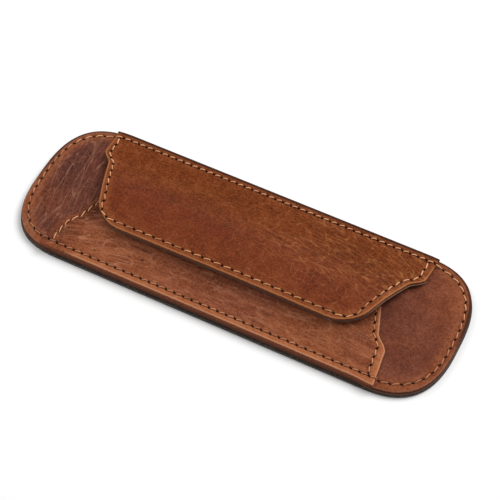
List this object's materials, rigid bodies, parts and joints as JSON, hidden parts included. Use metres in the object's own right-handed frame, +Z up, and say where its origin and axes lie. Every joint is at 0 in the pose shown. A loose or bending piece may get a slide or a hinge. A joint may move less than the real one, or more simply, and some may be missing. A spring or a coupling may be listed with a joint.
{
  "type": "fountain pen case",
  "caption": "Flat leather pen case with rounded end lobes, a sewn-on front pocket and a two-ply flap that folds over its mouth.",
  "frame": {"origin": "centre of the underside of the base", "axes": "+X along the case, +Y towards the edge where the flap folds, +Z up out of the front"},
  "size_m": [0.199, 0.07, 0.0139],
  "materials": {
    "back_leather": "matt, dyed nearly black",
    "board": "matt fibre board, dyed edge",
    "face_leather": "waxed, soft sheen",
    "pocket_leather": "waxed, soft sheen, fine creases",
    "flap_leather": "waxed, soft sheen",
    "lining_leather": "matt suede side",
    "thread": "waxed linen thread",
    "magnet": "plated disc"
  },
  "bodies": {
    "case_base": {"back_panel": "back_leather", "base_board": "board", "face_panel": "face_leather", "pocket_panel": "pocket_leather", "pocket_magnet": "magnet", "pocket_seam_left": "thread", "pocket_seam_right": "thread", "flap_margin": "flap_leather", "edge_seam_top": "thread", "edge_seam_back": "thread"},
    "flap": {"flap_panel": "flap_leather", "flap_lining": "lining_leather", "flap_magnet": "magnet", "flap_seam_top": "thread", "flap_seam_back": "thread"}
  },
  "joints": [
    {"name": "flap_hinge", "type": "hinge", "parent": "case_base", "child": "flap", "pos_m": [-0.0015, 0.0299, 0.0068], "axis": [-1, 0, 0], "range_deg": [0, 170]}
  ]
}
